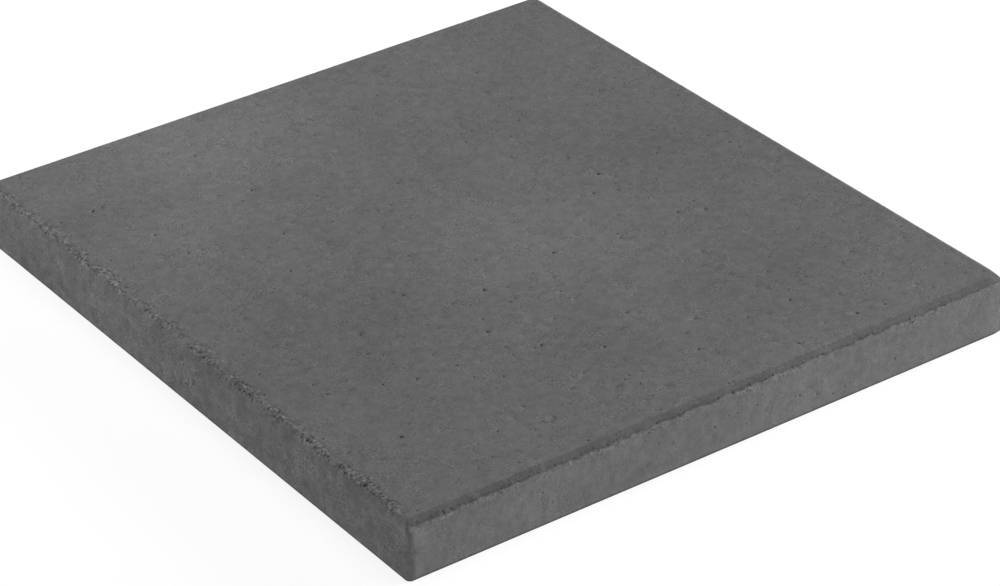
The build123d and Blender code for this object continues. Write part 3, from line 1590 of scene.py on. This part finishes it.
    def _band(self) -> Socket:
        """Darkens the band of dark paste on the chamfers, with painted crease shade that is darkest just
        above its ragged lower border.

        Returns:
            The gain.
        """
        finish, tree, swells, carried = self.finish, self.tree, self.swells, self.carried
        girth = add(tree, MATH, {0: carried[Carried.GIRTH], 1: PER_METRE}, operation="MULTIPLY")
        level = add(tree, MATH, {0: girth, 1: swells["ragged"]}, operation="ADD")
        low, high = finish.band_foot - finish.band_softness, finish.band_foot + finish.band_softness
        lip_end = finish.band_foot + finish.band_painted_crease_shade_reach
        head, end = (self.slope + past for past in finish.band_head)
        factors = [
            add(tree, RANGE, {"Value": level, "From Min": low, "From Max": high}),
            add(tree, RANGE, {"Value": level, "From Min": high, "From Max": lip_end,
                              "To Min": finish.band_painted_crease_shade, "To Max": 1.0}),
            add(tree, RANGE, {"Value": girth, "From Min": head, "From Max": end,
                              "To Min": 1.0, "To Max": 0.0}),
            self._masked(swells["blotch"], -finish.band_unrest),
        ]
        shade = add(tree, MATH, {0: carried[Carried.BAND], 1: finish.band_shade},
                    operation="MULTIPLY")
        for factor in factors:
            shade = add(tree, MATH, {0: shade, 1: factor}, operation="MULTIPLY")
        return add(tree, MATH, {0: 1.0, 1: shade}, operation="SUBTRACT")

    def _painted_corner_shading(self) -> Socket:
        """Paints light and shade on the upright corners: lighter from the arc's long-side half, painted
        shade on its end-side half, then a painted light strip on the end beside it.

        Returns:
            The gain.
        """
        finish, tree = self.finish, self.tree
        past = add(tree, MATH, {0: self.carried[Carried.CORNER], 1: PER_METRE}, operation="MULTIPLY")
        past = add(tree, MATH, {0: self.swells["ragged"], 1: finish.corner_wander, 2: past},
                   operation="MULTIPLY_ADD")
        gain: Socket | float = 1.0
        for start, end, rise in finish.corner_painted_shading:
            step = add(tree, RANGE, {"Value": past, "From Min": start, "From Max": end, "To Max": rise})
            gain = add(tree, MATH, {0: step, 1: gain}, operation="ADD")
        return gain

    def _painted_foot_shade(self) -> Socket:
        """Darkens the lower arris with painted contact shade, where the slab meets the floor.

        Returns:
            The gain.
        """
        height = add(self.tree, "ShaderNodeSeparateXYZ", {0: self.place}, "Z")
        low, high = (level * MM for level in self.finish.foot_heights)
        shade = add(self.tree, RANGE, {"Value": height, "From Min": low, "From Max": high,
                                       "To Min": -self.finish.foot_painted_shade, "To Max": 0.0})
        return self._masked(shade, self.carried[Carried.WALL])


@dataclass
class CopingSlab:
    """The one piece of the object: its skin, its relief and its finish."""

    form: SlabForm
    weathering: Weathering = Weathering()
    finish: PressedConcrete = PressedConcrete()
    name: str = "pressed_slab"

    def build(self) -> bpy.types.Object:
        """Builds the dressed slab.

        Returns:
            The finished piece, a plain closed mesh at the origin.
        """
        skin = SlabSkin(self.form, self.weathering)
        mesh = bpy.data.meshes.new(self.name)
        mesh.from_pydata(((skin.vertices + skin.worn) * MM).tolist(), [], skin.faces.tolist())
        for number, values in skin.carried().items():
            store = mesh.attributes.new(number.value, "FLOAT", "POINT")
            store.data.foreach_set("value", values.astype(np.float32))
        mesh.polygons.foreach_set("use_smooth", [True] * len(mesh.polygons))
        piece = bpy.data.objects.new(self.name, mesh)
        bpy.context.scene.collection.objects.link(piece)
        PressedRelief().apply(piece, self.finish.material(self.form.slope))
        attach(piece, BODY)
        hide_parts(NODE)
        log.info("%s: %d triangles", piece.name, len(piece.data.polygons))
        return piece


@dataclass(frozen=True)
class PhotoCamera:
    """The photograph's viewpoint, found from the slab's outline. Lengths are in metres."""

    azimuth: float = 55.65
    elevation: float = 30.74
    roll: float = -1.83
    distance: float = 2.4353
    slide_right: float = -0.0125
    slide_up: float = 0.00723
    focal_pixels: float = 3794.9
    sensor_width: float = 36.0

    def build(self) -> bpy.types.Object:
        """Makes the camera and hands it to the scene.

        Returns:
            The camera.
        """
        turn, rise = math.radians(self.azimuth), math.radians(self.elevation)
        level = math.cos(rise)
        back = Vector((math.sin(turn) * level, -math.cos(turn) * level, math.sin(rise)))
        right = Vector((math.cos(turn), math.sin(turn), 0.0))
        above = back.cross(right)
        lean = math.radians(self.roll)
        rolled_right = right * math.cos(lean) + above * math.sin(lean)
        rolled_up = above * math.cos(lean) - right * math.sin(lean)
        spot = back * self.distance - rolled_right * self.slide_right - rolled_up * self.slide_up
        data = bpy.data.cameras.new("photo_camera")
        data.sensor_width = self.sensor_width
        data.lens = self.focal_pixels * self.sensor_width / IMAGE_WIDTH
        camera = bpy.data.objects.new("photo_camera", data)
        turned = Matrix((rolled_right, rolled_up, back)).transposed().to_4x4()
        camera.matrix_world = Matrix.Translation(spot) @ turned
        bpy.context.scene.collection.objects.link(camera)
        bpy.context.scene.camera = camera
        return camera


@dataclass(frozen=True)
class Softbox:
    """A large soft light, in metres and watts."""

    name: str
    place: tuple[float, float, float]
    size: float
    power: float

    def build(self) -> bpy.types.Object:
        """Hangs the light so that it faces the slab.

        Returns:
            The light.
        """
        data = bpy.data.lights.new(self.name, "AREA")
        data.shape = "DISK"
        data.size = self.size
        data.energy = self.power
        light = bpy.data.objects.new(self.name, data)
        light.location = self.place
        light.rotation_euler = Vector(self.place).to_track_quat("Z", "Y").to_euler()
        light.visible_camera = False
        bpy.context.scene.collection.objects.link(light)
        return light


@dataclass(frozen=True)
class Studio:
    """Plain white studio: pale floor, even sky light and softboxes."""

    floor_size: float = 12.0
    floor_drop: float = 0.05
    floor_colour: str = "#7a7a7a"
    floor_glow: float = 0.85
    floor_roughness: float = 0.9
    sky: float = 0.06
    softboxes: tuple[Softbox, ...] = (
        Softbox("key_behind_right", (1.3, 2.8, 1.0), 1.3, 92.0),
        Softbox("top_fill", (0.0, 0.2, 3.0), 2.5, 46.0),
        Softbox("left_fill", (-0.8, -0.55, 0.28), 0.4, 2.54),
    )

    def build(self) -> None:
        """Lays the floor and lights the scene."""
        half = self.floor_size / 2
        corners = [(-half, -half), (half, -half), (half, half), (-half, half)]
        mesh = bpy.data.meshes.new("studio_floor")
        mesh.from_pydata([(x, y, -self.floor_drop * MM) for x, y in corners], [], [(0, 1, 2, 3)])
        floor = bpy.data.objects.new("studio_floor", mesh)
        bpy.context.scene.collection.objects.link(floor)
        paper = bpy.data.materials.new("white_paper_sweep")
        paper.use_nodes = True
        shader = paper.node_tree.nodes["Principled BSDF"]
        shader.inputs["Base Color"].default_value = linear(self.floor_colour)
        shader.inputs["Roughness"].default_value = self.floor_roughness
        shader.inputs["Emission Color"].default_value = WHITE
        shader.inputs["Emission Strength"].default_value = self.floor_glow
        mesh.materials.append(paper)
        world = bpy.data.worlds.new("studio_sky")
        world.use_nodes = True
        background = world.node_tree.nodes["Background"]
        background.inputs["Color"].default_value = WHITE
        background.inputs["Strength"].default_value = self.sky
        bpy.context.scene.world = world
        for softbox in self.softboxes:
            softbox.build()
        bpy.context.scene.view_settings.view_transform = "Standard"


def main() -> None:
    """Builds studio, camera and slab."""
    logging.basicConfig(level=logging.INFO, format="%(name)s: %(message)s")
    Studio().build()
    PhotoCamera().build()
    CopingSlab(SlabForm.from_node(NODE)).build()


if __name__ == "__main__":
    main()
